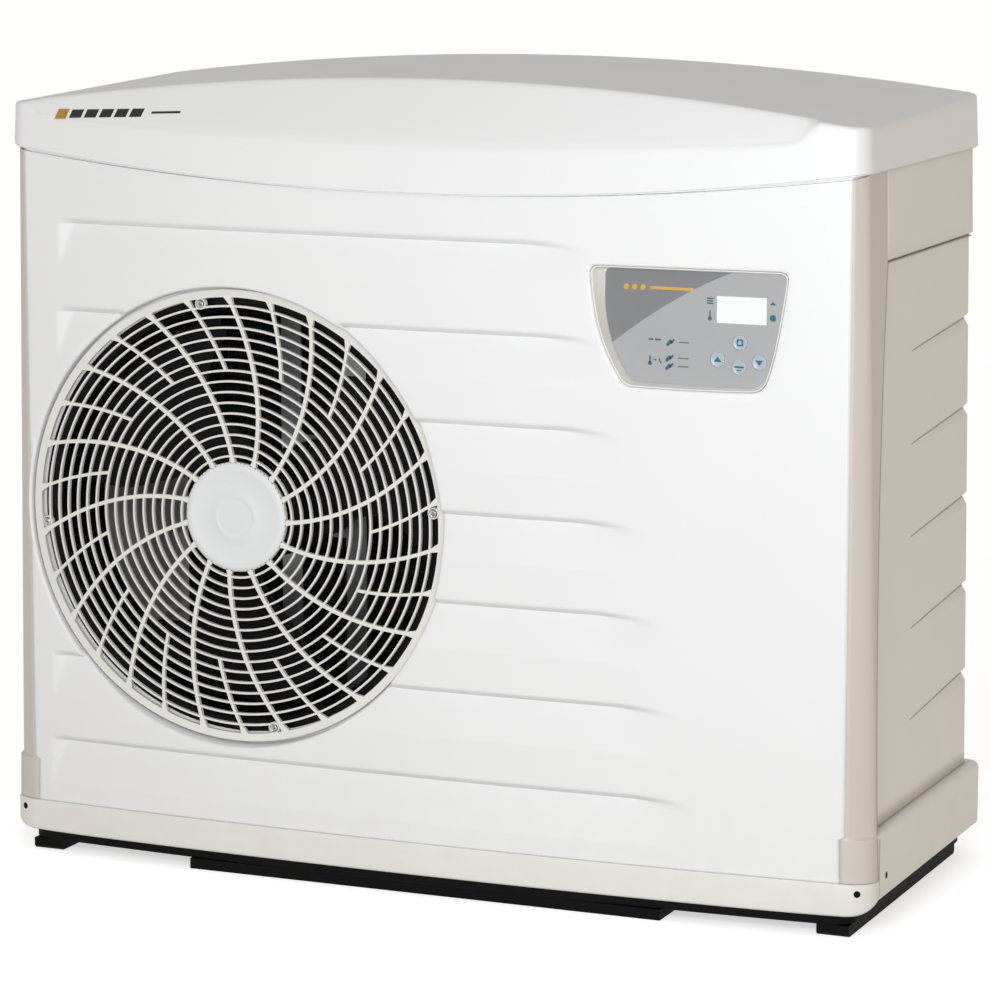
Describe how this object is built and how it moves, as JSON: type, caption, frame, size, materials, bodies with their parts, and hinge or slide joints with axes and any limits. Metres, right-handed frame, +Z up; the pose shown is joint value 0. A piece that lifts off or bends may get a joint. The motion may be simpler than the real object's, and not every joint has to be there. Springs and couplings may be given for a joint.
{
  "type": "heat pump unit",
  "caption": "Low wide pool heat pump with a domed lid, a round fan grille on curved spokes, a recessed key panel, black base rails, a finned coil and a compressor circuit.",
  "frame": {"origin": "centre of the unit's bounding box, on the floor that its rails stand on", "axes": "+Z up, +X to the right when facing the grille, +Y from the front grille to the coil at the back"},
  "size_m": [1.0532, 0.4722, 0.915],
  "materials": {
    "shell_white": "smooth satin",
    "shell_beige": "smooth satin",
    "base_black": "fine grain",
    "grille_ivory": "satin",
    "overlay_grey": "satin film",
    "display_white": "clear polished",
    "button_grey": "satin",
    "fan_black": "matt",
    "guard_black": "satin powder coat",
    "motor_grey": "satin paint",
    "zinc_steel": "zinc plated",
    "screw_steel": "plated",
    "coil_aluminium": "mill finish",
    "copper_tube": "bright copper",
    "brass_fitting": "bright",
    "compressor_black": "gloss paint",
    "rubber_foot": "matt",
    "circuit_board": "satin",
    "union_grey": "satin moulded"
  },
  "bodies": {
    "casing": {"front_panel": "shell_white", "top_cover": "shell_white", "control_housing": "shell_white", "rear_casing": "shell_beige", "base_skirt": "shell_beige", "base_pan": "base_black", "left_rail": "base_black", "right_rail": "base_black", "center_plinth": "base_black", "condensate_drain": "base_black", "cable_gland": "base_black", "fan_grille": "grille_ivory", "grille_hub_cap": "grille_ivory", "control_overlay": "overlay_grey", "lcd_window": "display_white", "fan_shroud": "fan_black", "coil_guard": "guard_black", "fan_motor": "motor_grey", "motor_bracket": "zinc_steel", "partition_plate": "zinc_steel", "electrical_box": "zinc_steel", "electrical_cover": "zinc_steel", "grille_screw_1": "screw_steel", "grille_screw_2": "screw_steel", "grille_screw_3": "screw_steel", "grille_screw_4": "screw_steel", "skirt_screw_right_front": "screw_steel", "skirt_screw_right_rear": "screw_steel", "skirt_screw_left_front": "screw_steel", "skirt_screw_left_rear": "screw_steel", "lid_screw_left": "screw_steel", "lid_screw_right": "screw_steel", "evaporator_coil": "coil_aluminium", "run_capacitor": "coil_aluminium", "coil_header": "copper_tube", "discharge_pipe": "copper_tube", "suction_pipe": "copper_tube", "condenser_pipe": "copper_tube", "liquid_pipe": "copper_tube", "coil_feed_pipe": "copper_tube", "filter_drier": "copper_tube", "reversing_valve": "brass_fitting", "expansion_valve": "brass_fitting", "compressor": "compressor_black", "accumulator": "compressor_black", "compressor_grommet_1": "rubber_foot", "compressor_grommet_2": "rubber_foot", "compressor_grommet_3": "rubber_foot", "control_board": "circuit_board", "contactor": "union_grey", "condenser_shell": "union_grey", "water_inlet_union": "union_grey", "water_outlet_union": "union_grey"},
    "fan": {"fan_impeller": "fan_black", "fan_shaft": "screw_steel", "fan_nut": "screw_steel"},
    "top_key": {"button_top": "button_grey"},
    "left_key": {"button_left": "button_grey"},
    "middle_key": {"button_middle": "button_grey"},
    "right_key": {"button_right": "button_grey"}
  },
  "joints": [
    {"name": "fan_spin", "type": "hinge", "parent": "casing", "child": "fan", "pos_m": [-0.231, -0.1329, 0.4113], "axis": [0, 1, 0], "continuous": true},
    {"name": "top_key_press", "type": "slide", "parent": "casing", "child": "top_key", "axis": [0, 1, 0], "range_m": [0, 0.0012], "stiffness_N_per_m": 400},
    {"name": "left_key_press", "type": "slide", "parent": "casing", "child": "left_key", "axis": [0, 1, 0], "range_m": [0, 0.0012], "stiffness_N_per_m": 400},
    {"name": "middle_key_press", "type": "slide", "parent": "casing", "child": "middle_key", "axis": [0, 1, 0], "range_m": [0, 0.0012], "stiffness_N_per_m": 400},
    {"name": "right_key_press", "type": "slide", "parent": "casing", "child": "right_key", "axis": [0, 1, 0], "range_m": [0, 0.0012], "stiffness_N_per_m": 400}
  ]
}
